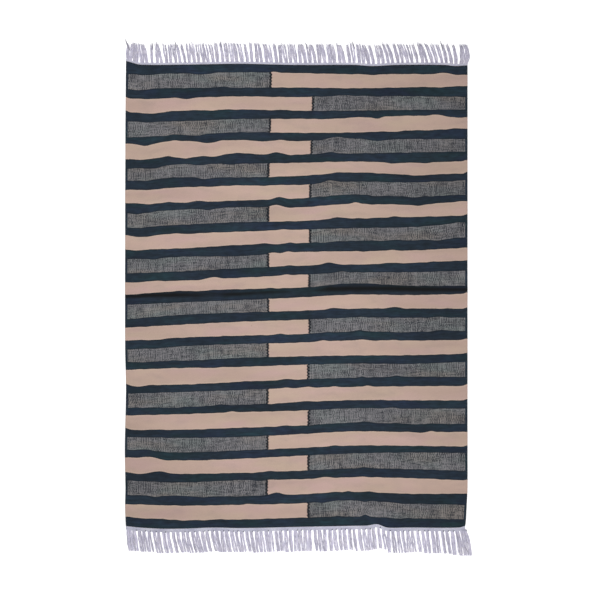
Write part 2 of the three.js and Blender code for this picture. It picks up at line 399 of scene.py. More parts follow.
# %% [markdown]
# ## The woven sheet
# The cloth is one sheet with a real thickness, so it could be a plane with a Solidify modifier. Building the
# grid by hand is better here: its rows follow the wavy wefts, so a stripe's edge is a row of vertices, and
# every vertex can carry its place in the weave. The finish reads that place later, and it stays true where
# the stripes bend. The rows lie closer together over the fold, which stands up as a soft ridge. The ridge is
# too low to cast the deep shade that lies along it in places, so a table says how dark it is and where.

# %% Heights of the sheet
FOLD_HEIGHT = 3
FOLD_CREST = -2
FOLD_FAR_WIDTH = 9
FOLD_NEAR_WIDTH = 14
WAVE_HEIGHT = 1.5
WAVE_REACH = 75
WAVE_LENGTH = 270
COCKLE_HEIGHT = 0.35
COCKLE_SINE = (47, 83)
COCKLE_COSINE = (-101, 39)


def past_fold(across, along):
    """How far a place lies on the far side of the fold's crest."""
    return along - smooth_at(FOLD_LINE, "across", "along", across) - FOLD_CREST


def lift_at(across, along, left, right):
    """How high the cloth's underside stands off the floor: the fold, the edge waves and slight cockles."""
    past_crest = past_fold(across, along)
    half_width = np.where(past_crest > 0, FOLD_FAR_WIDTH, FOLD_NEAR_WIDTH)
    ridge = np.where(np.abs(past_crest) < half_width, 1 + np.cos(np.pi * past_crest / half_width), 0)
    from_selvedge = np.minimum(across - left, right - across)
    reach = np.maximum(0, 1 - from_selvedge / WAVE_REACH)
    side = np.where(across < 0, 0, 1)
    wave = np.maximum(0, np.sin(2 * np.pi * along / WAVE_LENGTH + side))
    first_wave = np.sin(across / COCKLE_SINE[0] + along / COCKLE_SINE[1])
    second_wave = np.cos(along / COCKLE_COSINE[1] + across / COCKLE_COSINE[0])
    cockle = 1 + first_wave * second_wave
    return FOLD_HEIGHT / 2 * ridge + WAVE_HEIGHT * reach**2 * wave + COCKLE_HEIGHT * cockle


# %% Grid of the sheet
COLUMN_STEP = 7.5
EDGE_ROUNDING = 3
RIM_CUTS = (0, 0.4, 1.2, EDGE_ROUNDING)
NAVY_NOMINAL = 30
LIGHT_NOMINAL = 50
NAVY_CUTS = (0, 0.07, 0.3, 0.5, 0.7, 0.93)
LIGHT_CUTS = (0, 0.05, 0.2, 0.4, 0.6, 0.8, 0.95)
FOLD_BANDS = (19, 20, 21)
FOLD_ROWS = 12
FOLD_CUTS = tuple(row / FOLD_ROWS for row in range(FOLD_ROWS))
GROOVE_DEPTH = 0.35
GROOVE_REACH = 3.5
FOLD_SHADE = table(
    "across past reach depth",
    (-600, -1, 8, 1),
    (-520, 1, 9, 1),
    (-410, 1, 9, 1),
    (-350, -2, 9, 0.85),
    (-300, -0.5, 9, 0.6),
    (-220, -1, 8, 1),
    (-140, 1.5, 8, 0.8),
    (-60, 4, 8, 0.65),
    (10, 6, 8, 0),
    (60, 8, 9, 0.5),
    (120, 11, 12, 1),
    (280, 10, 12, 1),
    (400, 6, 12, 1),
    (600, -2, 12, 0.95),
)
FOLD_STRIPE = 20
FOLD_STRIPE_SHADE = 0.2
WARP_DRIFT = table(
    "along drift",
    (-830, -4), (-400, -2), (0, 0), (290, 1.5), (450, 2.5), (610, 6.5), (830, 11),
)
ROW_SHIFTS = {
    2: 3.6, 3: 1, 4: 2.3, 5: -1, 7: -1, 10: -2, 11: 1, 14: -6, 15: -2, 16: -2.7, 17: 1, 18: -2, 19: -2.7,
}


def make_object(name, corners, faces, flat_faces=0):
    """A smooth mesh from places in the frame and lists of corner numbers. Its last faces may be flat."""
    mesh = bpy.data.meshes.new(name)
    mesh.from_pydata(np.asarray(corners).reshape(-1, 3).tolist(), [], faces)
    mesh.polygons.foreach_set("use_smooth", np.arange(len(faces)) < len(faces) - flat_faces)
    mesh.update()
    made = bpy.data.objects.new(name, mesh)
    bpy.context.collection.objects.link(made)
    return made


def keep_vector(made, name, values):
    """Stores a vector at each corner of a mesh, for the finish to read."""
    layer = made.data.attributes.new(name, "FLOAT_VECTOR", "POINT")
    layer.data.foreach_set("vector", np.asarray(values, float).reshape(-1))


def keep_number(made, name, values):
    """Stores a number at each corner of a mesh, for the finish to read."""
    layer = made.data.attributes.new(name, "FLOAT", "POINT")
    layer.data.foreach_set("value", np.asarray(values, float).reshape(-1))


def band_cuts(band):
    """Where the grid's rows cut a band, as shares of its width."""
    if band in FOLD_BANDS:
        return FOLD_CUTS
    return NAVY_CUTS if band % 2 == 0 else LIGHT_CUTS


inner = np.arange(-HALF_WIDTH + COLUMN_STEP, HALF_WIDTH, COLUMN_STEP)
rim = np.array(RIM_CUTS)
columns = np.concatenate([rim - HALF_WIDTH, inner, HALF_WIDTH - rim[::-1]])
edges = band_edges(columns)

row_bands = [band + cut for band in range(BANDS) for cut in band_cuts(band)] + [float(BANDS)]
row_bands = np.array(row_bands)
whole = np.minimum(row_bands.astype(int), BANDS - 1)
part = row_bands - whole
along = edges[whole] * (1 - part)[:, None] + edges[whole + 1] * part[:, None]
left = smooth_at(SELVEDGES, "along", "left", along)
right = smooth_at(SELVEDGES, "along", "right", along)
across = left + (right - left) * (columns + HALF_WIDTH) / (2 * HALF_WIDTH)
print(len(row_bands), "rows of", len(columns), "places")

# %% [markdown]
# Each vertex stores three things. `weave` is its place counted along the weft and along the warp, in metres
# of flat cloth. `band` counts stripes and light rows from the far end: the whole part says which band it is,
# and the rest how far across it. `fold_shade` is how dark the fold leaves it. The warps drift sideways a
# little from row to row, and the cloth is thinner along the line where two colours of weft meet.

# %% Sheet mesh
RIM_LEAST = 0.03

nominal = np.array([NAVY_NOMINAL if band % 2 == 0 else LIGHT_NOMINAL for band in range(BANDS)], float)
woven_before = np.concatenate([[0], np.cumsum(nominal)])
weft_place = woven_before[whole] + nominal[whole] * part
from_edge = np.minimum(part, 1 - part) * nominal[whole]
groove = GROOVE_DEPTH * np.exp(-((from_edge / GROOVE_REACH) ** 2))
shift_bands = [band for row in range(1, len(STRIPES)) for band in (2 * row - 1, 2 * row)]
shifts = [ROW_SHIFTS.get((band + 1) // 2, 0) for band in shift_bands]
row_shift = np.interp(row_bands, shift_bands, shifts)[:, None]
drift = (smooth_at(WARP_DRIFT, "along", "drift", along) + row_shift) * (1 - np.abs(columns) / HALF_WIDTH)
warp_place = columns - drift

from_rim = np.minimum(columns + HALF_WIDTH, HALF_WIDTH - columns)
rounding = np.sqrt(1 - (1 - np.clip(from_rim / EDGE_ROUNDING, RIM_LEAST, 1)) ** 2)
half_thick = CLOTH_THICKNESS / 2 * rounding
middle_height = lift_at(across, along, left, right) + CLOTH_THICKNESS / 2
top = to_frame(across, along, middle_height + half_thick - groove[:, None])
bottom = to_frame(across, along, middle_height - half_thick)

rows, lanes = along.shape
top_index = np.arange(rows * lanes).reshape(rows, lanes)
bottom_index = top_index + rows * lanes


def grid_faces(a, b, c, d):
    """Four-cornered faces from four equal arrays of corner numbers."""
    return np.stack([a.ravel(), b.ravel(), c.ravel(), d.ravel()], axis=1).tolist()


sheet_faces = grid_faces(top_index[1:, :-1], top_index[1:, 1:], top_index[:-1, 1:], top_index[:-1, :-1])
sheet_faces += grid_faces(
    bottom_index[:-1, :-1], bottom_index[:-1, 1:], bottom_index[1:, 1:], bottom_index[1:, :-1]
)
rim_top = np.concatenate([top_index[0, :-1], top_index[:-1, -1], top_index[-1, :0:-1], top_index[:0:-1, 0]])
rim_bottom = rim_top + rows * lanes
sheet_faces += grid_faces(rim_top, np.roll(rim_top, -1), np.roll(rim_bottom, -1), rim_bottom)

cloth = make_object("woven_cloth", np.concatenate([top.reshape(-1, 3), bottom.reshape(-1, 3)]), sheet_faces)
weave_place = np.stack([warp_place * MM, np.broadcast_to(weft_place[:, None] * MM, along.shape)], axis=-1)
weave_place = np.concatenate([weave_place, np.zeros((rows, lanes, 1))], axis=-1).reshape(-1, 3)
keep_vector(cloth, "weave", np.concatenate([weave_place, weave_place]))
keep_number(cloth, "band", np.tile(np.broadcast_to(row_bands[:, None], along.shape).ravel(), 2))
from_shade = past_fold(across, along) - smooth_at(FOLD_SHADE, "across", "past", across)
shade_reach = smooth_at(FOLD_SHADE, "across", "reach", across)
shade_depth = np.clip(smooth_at(FOLD_SHADE, "across", "depth", across), 0, 1)
inside_stripe = ((row_bands > FOLD_STRIPE) & (row_bands < FOLD_STRIPE + 1))[:, None]
deep_shade = shade_depth * np.exp(-((from_shade / shade_reach) ** 2))
shaded = inside_stripe * np.maximum(deep_shade, FOLD_STRIPE_SHADE)
keep_number(cloth, "fold_shade", np.tile(shaded.ravel(), 2))
print(f"sheet of {rows} by {lanes} corners a side, {len(cloth.data.polygons)} faces")

# %% [markdown]
# ## Yarn
# Everything else on the rug is yarn, so one function makes all of it: tubes swept along paths. A curve
# object with a bevel could do this for a few strands. There are thousands here, so the tubes are worked out
# together as arrays and joined in one mesh. Each vertex keeps its place round the yarn, its place along it
# and a number of its own yarn, and the finish draws the twist and the shade of each yarn from those.

# %% Yarn tubes
NEARLY_NOTHING = 1e-9


def yarn_tubes(name, paths, radii, sides):
    """One mesh of closed tubes. paths is (count, steps, 3) in mm from the cloth's middle; radii is in mm."""
    paths = np.asarray(paths, float)
    count, steps, _ = paths.shape
    radii = np.broadcast_to(radii, (count, steps))
    tangent = np.gradient(paths, axis=1)
    tangent /= np.linalg.norm(tangent, axis=2, keepdims=True) + NEARLY_NOTHING
    level_side = np.cross(tangent, (0.0, 0.0, 1.0))
    level_side /= np.linalg.norm(level_side, axis=2, keepdims=True) + NEARLY_NOTHING
    upright = np.cross(level_side, tangent)
    angle = 2 * np.pi * np.arange(sides) / sides
    ring = level_side[:, :, None] * np.cos(angle)[:, None] + upright[:, :, None] * np.sin(angle)[:, None]
    corners = paths[:, :, None] + ring * radii[:, :, None, None]
    index = np.arange(count * steps * sides).reshape(count, steps, sides)
    near, far = index[:, :-1], index[:, 1:]
    faces = grid_faces(near, np.roll(near, -1, axis=2), np.roll(far, -1, axis=2), far)
    faces += index[:, 0, ::-1].tolist() + index[:, -1].tolist()
    made = make_object(name, to_frame(corners[..., 0], corners[..., 1], corners[..., 2]), faces, 2 * count)
    stretch = np.linalg.norm(np.diff(paths, axis=1), axis=2).cumsum(axis=1)
    length = np.concatenate([np.zeros((count, 1)), stretch], axis=1) * MM
    shape = (count, steps, sides)
    turn = [np.broadcast_to(np.cos(angle), shape), np.broadcast_to(np.sin(angle), shape)]
    keep_vector(made, "yarn", np.stack(turn + [np.broadcast_to(length[:, :, None], shape)], axis=-1))
    number = np.random.default_rng(count).random(count)
    keep_number(made, "yarn_number", np.broadcast_to(number[:, None, None], shape))
    return made


# %% [markdown]
# ## The fringes
# The warp ends lie on the floor in bundles, or locks. The tables repeat the solids' own: the spacing of the
# locks, their width, how far the tips stand to the right of the roots, how far the middle bows out, and the
# length past the heading. A lock is a handful of loosely twisted yarns in two layers that wander a little,
# with thin wisps fraying out at the tip.

# %% Fringe tables
STRAYS = {
    "width": {"kind": 0, "most": 0.9},
    "lean": {"kind": 1, "most": 2.6},
    "length": {"kind": 2, "most": 2.2},
    "across": {"kind": 3, "most": 1.6},
}
STRAY_STEP = 0.618034
LEAN_CURVE = 1.3

FAR_FRINGE = {
    "edge": FAR_EDGE,
    "outward": 1,
    "heading": 6,
    "root": 3,
    "locks": table(
        "across pitch width lean bow length",
        (-589, 24, 18, 0, 0, 54),
        (-565, 22, 18, -3, 2, 66),
        (-530, 17, 10, -9, 0, 66),
        (-200, 17.1, 10.5, -11, 0, 65),
        (120, 17.1, 10.5, -11, 0, 65),
        (260, 17.1, 10, -15, 1, 66),
        (540, 17, 9.5, -19, 1, 65),
        (576, 17, 14, -4, 4, 66),
        (596, 17, 14, -3, 8, 66),
    ),
}
NEAR_FRINGE = {
    "edge": NEAR_EDGE,
    "outward": -1,
    "heading": 13,
    "root": 7,
    "locks": table(
        "across pitch width lean bow length",
        (-590, 19, 16, 7, 0, 68),
        (-560, 17, 11, 12, 0, 69),
        (-380, 17.2, 10.5, 17, -1, 68),
        (-200, 17.2, 11, 13, 0, 68),
        (0, 17.2, 11, 6, 0, 69),
        (250, 17.2, 10.5, 9, 0, 70),
        (480, 17.2, 10, 12, 1, 73),
        (550, 19, 12, 11, 2, 78),
        (585, 22, 22, 16, 5, 82),
    ),
}


def stray(index, name):
    """How far lock number `index` strays from the tables."""
    kind, most = STRAYS[name]["kind"], STRAYS[name]["most"]
    turns = ((index + 1) * (kind + 1) + kind * STRAY_STEP) * STRAY_STEP
    return most * (2 * (turns - math.floor(turns)) - 1)


def lock_list(fringe):
    """The locks of a fringe, each with its own root, reach, width, lean and bow."""
    rows = fringe["locks"]
    made = []
    at = rows[0]["across"]
    while at <= rows[-1]["across"] + 1:
        read = {column: float(smooth_at(rows, "across", column, at)) for column in rows[0]}
        index = len(made)
        root_across = at + stray(index, "across")
        edge = float(smooth_at(fringe["edge"], "across", "along", root_across))
        made.append({
            "across": root_across,
            "along": edge + fringe["outward"] * (PIECE_GAP + fringe["root"]),
            "reach": fringe["heading"] - fringe["root"] + read["length"] + stray(index, "length"),
            "width": read["width"] + stray(index, "width"),
            "lean": read["lean"] + stray(index, "lean"),
            "bow": read["bow"],
        })
        at += read["pitch"]
    return made


# %% Locks of yarn
YARN_STEPS = 12
YARN_SIDES = 6
YARNS_A_MM = 0.8
QUARTER_TURN = 0.25
WANDER = 0.8
WISP_STEPS = 7
LEAST_YARNS = 6
YARN_TURNS = (1.1, 2.1)
YARN_THICKNESS = (0.85, 1.1)
LAYER_STEP = 0.8
LAYER_SINK = 0.5
BOB = 0.25
WISP_SIDES = 3
WISP_TIP = 0.45
WISP_ROOT_FLARE = 0.4
WISP_BEND = 3
WISP_REST = 1.2
WISP_RISE = 4

FAR_HABIT = {
    "yarn_radius": 1.05, "slip": 4.5, "part": (-2.6, 4.2), "swell": 0.34, "tip_width": 0.87, "ragged": 0.1,
    "point": 0.7, "fray": 3.5, "wisps": 14, "wisp_radius": 0.42, "wisp_start": (0.05, 0.85),
    "wisp_flare": 0.75, "wisp_end": (0.9, 1.1),
}
NEAR_HABIT = {
    "yarn_radius": 1.05, "slip": 2.6, "part": (-2, 3), "swell": 0.29, "tip_width": 1.2, "ragged": 0.03,
    "point": 0.2, "fray": 5.4, "wisps": 12, "wisp_radius": 0.4, "wisp_start": (0.05, 0.85),
    "wisp_flare": 0.72, "wisp_end": (0.9, 1.02),
}


def lock_middle(lock, out):
    """The middle line of a lock, at shares of the way from its root to its tip."""
    return lock["across"] + lock["lean"] * out**LEAN_CURVE + lock["bow"] * np.sin(np.pi * out)


def lock_yarns(lock, habit, outward, chance):
    """Paths and radii of the yarns in one lock: two bundles that part or cross towards the tip."""
    count = max(LEAST_YARNS, round(lock["width"] * YARNS_A_MM))
    radius = habit["yarn_radius"]
    slip = chance.uniform(-habit["slip"], habit["slip"])
    part = chance.uniform(*habit["part"])
    paths, radii = [], []
    for number in range(count):
        out = np.linspace(0, 1 - chance.uniform(0, habit["ragged"]), YARN_STEPS)
        place = 2 * number / (count - 1) - 1
        bundle = 1 if place > 0 else -1
        widening = habit["swell"] * np.sin(np.pi * out) + (habit["tip_width"] - 1) * out**2
        spread = lock["width"] * (1 + widening)
        phase, turns = chance.random(), chance.uniform(*YARN_TURNS)
        wander = WANDER * np.sin(2 * np.pi * (turns * out + phase)) * np.minimum(1, 4 * out)
        side = place * (spread / 2 - radius) + wander + (slip + bundle * part) * out**LEAN_CURVE
        layer = 1 + LAYER_STEP * (number % 2) * (1 - LAYER_SINK * out)
        height = radius * (layer + BOB * np.sin(2 * np.pi * (turns * out + phase + QUARTER_TURN)))
        along = lock["along"] + outward * out * (lock["reach"] + habit["fray"])
        paths.append(np.stack([lock_middle(lock, out) + side, along, np.maximum(height, radius)], axis=1))
        radii.append(radius * chance.uniform(*YARN_THICKNESS) * (1 - habit["point"] * out**4))
    return paths, radii, slip


def lock_wisps(lock, habit, outward, slip, chance):
    """Paths of the thin fibres that fray out at a lock's tip."""
    paths = []
    for _ in range(habit["wisps"]):
        start, end = chance.uniform(*habit["wisp_start"]), chance.uniform(*habit["wisp_end"])
        out = np.linspace(start, end, WISP_STEPS)
        share = (out - start) / (end - start)
        flare_width = WISP_ROOT_FLARE + (habit["wisp_flare"] - WISP_ROOT_FLARE) * share
        flare = chance.uniform(-1, 1) * lock["width"] * flare_width
        bend = chance.uniform(-WISP_BEND, WISP_BEND) * share**2
        side = flare + bend + slip * out**LEAN_CURVE
        height = habit["wisp_radius"] * (WISP_REST + WISP_RISE * chance.random() * (1 - share))
        along = lock["along"] + outward * out * (lock["reach"] + habit["fray"])
        paths.append(np.stack([lock_middle(lock, out) + side, along, height], axis=1))
    return paths


def build_locks(name, fringe, habit, seed):
    """All the yarns of one fringe as a mesh, and its wisps as another."""
    chance = np.random.default_rng(seed)
    paths, radii, wisps = [], [], []
    for lock in lock_list(fringe):
        lock_paths, lock_radii, slip = lock_yarns(lock, habit, fringe["outward"], chance)
        paths += lock_paths
        radii += lock_radii
        wisps += lock_wisps(lock, habit, fringe["outward"], slip, chance)
    made = yarn_tubes(name, paths, np.array(radii), YARN_SIDES)
    thinning = habit["wisp_radius"] * np.linspace(1, WISP_TIP, WISP_STEPS)
    fine = yarn_tubes(name + "_wisps", wisps, thinning, WISP_SIDES)
    print(name, len(paths), "yarns and", len(wisps), "wisps")
    return made, fine


fringe_far, wisps_far = build_locks("fringe_yarns_far", FAR_FRINGE, FAR_HABIT, seed=5)
fringe_near, wisps_near = build_locks("fringe_yarns_near", NEAR_FRINGE, NEAR_HABIT, seed=6)

# %% [markdown]
# ## The headings
# A few picks of white weft lock the coloured wefts in place at each end. At the far end that is all. At the
# near end each bundle of warps is also tied in a flat knot, side by side in a row, and the small shadows
# between the knots show as dark spots. Short dark ends of navy yarn beside some knots stand in for those
# shadows, as painted shade. The picks run over and under the warps, so each path rises and falls once every
# two warps, and its neighbour half a turn later.

# %% Heading picks
WARP_GAP = 3
PICK_RADIUS = 1.35
PICK_STEP = 1.5
PICK_RISE = 0.55
PICK_HEIGHT = 2.2
PICK_SIDES = 8


def heading_picks(name, fringe, count, spacing):
    """The white picks along a cloth's end."""
    nominal_across = np.arange(-HALF_WIDTH, HALF_WIDTH + PICK_STEP, PICK_STEP)
    edge = smooth_at(fringe["edge"], "across", "along", nominal_across)
    left_end = smooth_at(SELVEDGES, "along", "left", edge)
    right_end = smooth_at(SELVEDGES, "along", "right", edge)
    place = left_end + (right_end - left_end) * (nominal_across + HALF_WIDTH) / (2 * HALF_WIDTH)
    paths = []
    for pick in range(count):
        outer = edge + fringe["outward"] * (PIECE_GAP + PICK_RADIUS + pick * spacing)
        rise = PICK_RISE * np.cos(np.pi * nominal_across / WARP_GAP + np.pi * pick)
        paths.append(np.stack([place, outer, PICK_HEIGHT + rise], axis=1))
    return yarn_tubes(name, paths, PICK_RADIUS, PICK_SIDES)


picks_far = heading_picks("heading_picks_far", FAR_FRINGE, count=3, spacing=2.2)
picks_near = heading_picks("heading_picks_near", NEAR_FRINGE, count=5, spacing=2.35)
print(len(picks_far.data.vertices) + len(picks_near.data.vertices), "vertices in the headings' picks")

# %% Knots of the near heading
KNOT_WRAPS = 2
KNOT_RADIUS = 1.15
KNOT_STEPS = 9
KNOT_FROM_EDGE = 10.2
KNOT_LENGTH = 2.6
KNOT_HEIGHT = 2.1
KNOT_OVERHANG = 0.6
KNOT_ARC = (0.05, 0.95)
KNOT_SLANT = (0.6, 1.4)
KNOT_BACK_SLANT = -0.6
KNOT_SIDES = 7
SHADE_END_SHARE = 0.65
SHADE_END_RADIUS = 1.2
SHADE_END_LENGTH = 4
SHADE_END_STEPS = 5
SHADE_END_SIDES = 5
SHADE_END_ASIDE = 2.5
SHADE_END_DRIFT = 1.5
SHADE_END_START = (-2, 0.5)
SHADE_END_HEIGHT = 3.2
SHADE_END_ARCH = 0.4


def knot_paths(lock, fringe, chance):
    """The wraps of one knot: slanting arcs over a lock's root."""
    edge = float(smooth_at(fringe["edge"], "across", "along", lock["across"]))
    half = lock["width"] / 2 + KNOT_OVERHANG
    turn = np.linspace(*KNOT_ARC, KNOT_STEPS) * np.pi
    paths = []
    for wrap in range(KNOT_WRAPS):
        slant = chance.uniform(*KNOT_SLANT) * (1 if wrap % 2 else KNOT_BACK_SLANT)
        out = KNOT_FROM_EDGE + KNOT_LENGTH * wrap / (KNOT_WRAPS - 1) + slant * np.cos(turn)
        height = KNOT_RADIUS + KNOT_HEIGHT * np.sin(turn)
        along = edge + fringe["outward"] * (PIECE_GAP + out)
        paths.append(np.stack([lock["across"] + half * np.cos(turn), along, height], axis=1))
    return paths


def shade_end_path(lock, fringe, chance):
    """A short dark end of navy yarn beside a knot, put there as painted shade between the knots."""
    edge = float(smooth_at(fringe["edge"], "across", "along", lock["across"]))
    along_share = np.linspace(0, 1, SHADE_END_STEPS)
    side = lock["across"] + lock["width"] / 2 + chance.uniform(0, SHADE_END_ASIDE)
    side = side + chance.uniform(-SHADE_END_DRIFT, SHADE_END_DRIFT) * along_share
    out = KNOT_FROM_EDGE + chance.uniform(*SHADE_END_START) + SHADE_END_LENGTH * along_share
    height = SHADE_END_HEIGHT + SHADE_END_ARCH * np.sin(np.pi * along_share)
    return np.stack([side, edge + fringe["outward"] * (PIECE_GAP + out), height], axis=1)


knot_chance = np.random.default_rng(8)
near_locks = lock_list(NEAR_FRINGE)
knot_wraps = [path for lock in near_locks for path in knot_paths(lock, NEAR_FRINGE, knot_chance)]
knots_near = yarn_tubes("heading_knots_near", knot_wraps, KNOT_RADIUS, KNOT_SIDES)
# Some knots get a dark navy end beside them: painted shade between the knots.
shade_end_locks = [lock for lock in near_locks if knot_chance.random() < SHADE_END_SHARE]
shade_end_paths = [shade_end_path(lock, NEAR_FRINGE, knot_chance) for lock in shade_end_locks]
shade_ends = yarn_tubes("heading_shade_ends", shade_end_paths, SHADE_END_RADIUS, SHADE_END_SIDES)
print(len(knot_wraps), "knot wraps and", len(shade_end_paths), "caught ends")

# %% [markdown]
# ## Where the wefts turn
# A weft turns back round the last warp. At a selvedge, and along the upright line where a grey block meets
# the beige, those turns stand up as a row of small beads. Each is a short arc of yarn, and they are made as
# one mesh. The band's number tells which side of the rug a grey block is on.

# %% Turns of weft
TURN_PITCH = 3.2
TURN_STEPS = 6
TURN_RADIUS = 0.85
TURN_SIDES = 6
SELVEDGE_ARC = 1.25
SELVEDGE_BULGE = 1.3
SELVEDGE_INSET = 1.6
SELVEDGE_SLANT = 0.9
FROM_CLOTH_EDGE = 0.01
JOIN_SPAN = (0.03, 0.97)
JOIN_REACH = 4.6
JOIN_BITES = (0.35, 0.5, 0.7, 1.0)
JOIN_INSET = 1
JOIN_HALF_WIDTH = 1.1
JOIN_SINK = 0.45
JOIN_ARCH = 0.35
JOIN_RADIUS = 0.9
JOIN_SIDES = 5
LEFT_JOIN = -98.4
RIGHT_JOIN = 46.2


def place_on_cloth(warp_at, band_at):
    """Where a place in the weave lies on the cloth, and how high its top is there."""
    lane = np.clip(np.searchsorted(columns, warp_at) - 1, 0, lanes - 2)
    lane_share = (warp_at - columns[lane]) / (columns[lane + 1] - columns[lane])
    row = np.clip(np.searchsorted(row_bands, band_at) - 1, 0, rows - 2)
    row_share = (band_at - row_bands[row]) / (row_bands[row + 1] - row_bands[row])

    def read(values):
        low = values[row, lane] * (1 - lane_share) + values[row, lane + 1] * lane_share
        high = values[row + 1, lane] * (1 - lane_share) + values[row + 1, lane + 1] * lane_share
        return low * (1 - row_share) + high * row_share

    return read(across), read(along), read(middle_height), read(drift)


def turn_places(band, low_share=0.0, high_share=1.0):
    """Places along a band where the wefts turn, as band numbers."""
    count = max(2, round(nominal[band] * (high_share - low_share) / TURN_PITCH))
    return band + low_share + (high_share - low_share) * (np.arange(count) + 0.5) / count


def selvedge_turns(side):
    """Arcs of weft round the outermost warp on one side."""
    band_at = np.concatenate([turn_places(band) for band in range(BANDS)])
    x, y, z, _ = place_on_cloth(np.full(len(band_at), side * (HALF_WIDTH - FROM_CLOTH_EDGE)), band_at)
    turn = np.linspace(-SELVEDGE_ARC, SELVEDGE_ARC, TURN_STEPS)[None, :]
    half_high = CLOTH_THICKNESS / 2 - TURN_RADIUS
    out = side * (np.cos(turn) * SELVEDGE_BULGE - SELVEDGE_INSET)
    slant = SELVEDGE_SLANT * np.sin(turn)
    paths = np.stack([x[:, None] + out, y[:, None] + slant, z[:, None] + half_high * np.sin(turn)], axis=2)
    return paths, band_at


def join_turns(grey_bands, join, toothed_side, chance):
    """Beads of navy weft along the upright joins inside the cloth, which bite into the beige unevenly."""
    band_at = np.concatenate([turn_places(band, *JOIN_SPAN) for band in grey_bands])
    x, y, z, off = place_on_cloth(np.full(len(band_at), float(join)), band_at)
    turn = np.linspace(0, np.pi, TURN_STEPS)[None, :]
    reach = JOIN_REACH * chance.choice(JOIN_BITES, len(band_at))[:, None]
    out = toothed_side * (reach * np.sin(turn) - JOIN_INSET)
    return np.stack([
        (x + off)[:, None] + out,
        y[:, None] + JOIN_HALF_WIDTH * np.cos(turn),
        z[:, None] + CLOTH_THICKNESS / 2 - JOIN_SINK + JOIN_ARCH * np.sin(turn),
    ], axis=2)


grey_left = [band for band in range(BANDS) if band % 4 == 1]
grey_right = [band for band in range(BANDS) if band % 4 == 3]
left_turns, left_bands = selvedge_turns(-1)
right_turns, right_bands = selvedge_turns(1)
edge_paths = np.concatenate([left_turns, right_turns])
edge_bands = np.concatenate([left_bands, right_bands])
edge_sides = np.concatenate([np.full(len(left_bands), -1), np.full(len(right_bands), 1)])
beige_turn = np.where(edge_sides < 0, edge_bands.astype(int) % 4 == 3, edge_bands.astype(int) % 4 == 1)
navy_turns = yarn_tubes("selvedge_turns_navy", edge_paths[~beige_turn], TURN_RADIUS, TURN_SIDES)
beige_turns = yarn_tubes("selvedge_turns_beige", edge_paths[beige_turn], TURN_RADIUS, TURN_SIDES)
join_chance = np.random.default_rng(11)
join_paths = np.concatenate([
    join_turns(grey_left, LEFT_JOIN, 1, join_chance),
    join_turns(grey_right, RIGHT_JOIN, -1, join_chance),
])
joins = yarn_tubes("block_join_turns", join_paths, JOIN_RADIUS, JOIN_SIDES)
print(len(edge_paths), "turns at the selvedges and", len(join_paths), "at the joins")

# %% [markdown]
# ## Loose threads
# A few threads have worked out of the locks and lie past the others. They are listed with the place where
# each leaves its lock, the place of its tip, and how far it bends. Each is three fine strands of unequal
# length that thin out, because one tube as thick as all three would look like a wire.

# %% Loose threads
LOOSE_THREADS = table(
    "root tip bend",
    ((-588, 868), (-604, 911), -2),
    ((-585, 862), (-598, 896), -1),
    ((-424, 872), (-431, 899), 2),
    ((-505, 866), (-511, 897), 1),
    ((-262, 870), (-268, 899), -2),
    ((36, 868), (27, 896), 2),
    ((206, 868), (195, 899), -2),
    ((512, 860), (500, 904), 3),
    ((-360, -880), (-357, -903), 2),
    ((590, -880), (603, -910), 3),
)
THREAD_STEPS = 12
THREAD_RADIUS = 0.85
THREAD_SIDES = 5
THREAD_RISE = 2.2
THREAD_ROOT = 0.35
THREAD_SWELL = 4
THREAD_THINNING = 0.55
THREAD_STRANDS = table(
    "reach aside",
    (1, 0), (0.86, 1.5), (0.72, -1.3),
)

share = np.linspace(0, 1, THREAD_STEPS)
thread_paths = []
for thread in LOOSE_THREADS:
    for strand in THREAD_STRANDS:
        along_thread = share * strand["reach"]
        run = np.outer(1 - along_thread, thread["root"]) + np.outer(along_thread, thread["tip"])
        run[:, 0] += thread["bend"] * np.sin(np.pi * along_thread)
        run[:, 0] += strand["aside"] * np.sin(np.pi / 2 * share)
        height = THREAD_RADIUS + THREAD_RISE * (1 - along_thread) ** 2
        thread_paths.append(np.column_stack([run, height]))
thread_taper = np.minimum(1, THREAD_ROOT + THREAD_SWELL * share) * (1 - THREAD_THINNING * share**2)
threads = yarn_tubes("loose_threads", thread_paths, THREAD_RADIUS * thread_taper, THREAD_SIDES)
print(len(LOOSE_THREADS), "loose threads of", len(THREAD_STRANDS), "strands")

# %% [markdown]
# ## Colours
# A colour is easiest to read off a picture as red, green and blue from 0 to 255. Blender works with linear
# values, so one helper turns the first into the second, and takes off the brightness that the light adds.

# %% Colour helper
def dye(red, green, blue):
    """A linear colour from 0 to 255 values, for a surface that the light above makes a little brighter."""
    linear = []
    for value in (red, green, blue):
        value = value / 255
        linear.append(value / 12.92 if value <= 0.04045 else ((value + 0.055) / 1.055) ** 2.4)
    return tuple(value / LEVEL for value in linear) + (1.0,)


# %% [markdown]
# ## Tools for the finishes
# A finish is a tree of nodes. Three short helpers keep each tree readable: one adds a group with named
# sockets, one adds a node and connects what it is given, and one does a sum.

# %% Node helpers
def new_group(name, takes, gives):
    """An empty shader node group. Returns the tree, its input sockets and its output sockets."""
    tree = bpy.data.node_groups.new(name, "ShaderNodeTree")
    for label, kind, value in takes:
        socket = tree.interface.new_socket(label, in_out="INPUT", socket_type=kind)
        if value is not None:
            socket.default_value = value
    for label, kind in gives:
        tree.interface.new_socket(label, in_out="OUTPUT", socket_type=kind)
    return tree, tree.nodes.new("NodeGroupInput").outputs, tree.nodes.new("NodeGroupOutput").inputs


def feed(tree, socket, value):
    """Links a socket to another, or sets its value."""
    if isinstance(value, bpy.types.NodeSocket):
        tree.links.new(value, socket)
    else:
        socket.default_value = value


def add(tree, kind, inputs, **settings):
    """Adds a node with its settings and inputs, and returns its outputs."""
    made = tree.nodes.new(kind)
    for name, value in settings.items():
        setattr(made, name, value)
    for name, value in inputs.items():
        feed(tree, made.inputs[name], value)
    return made.outputs


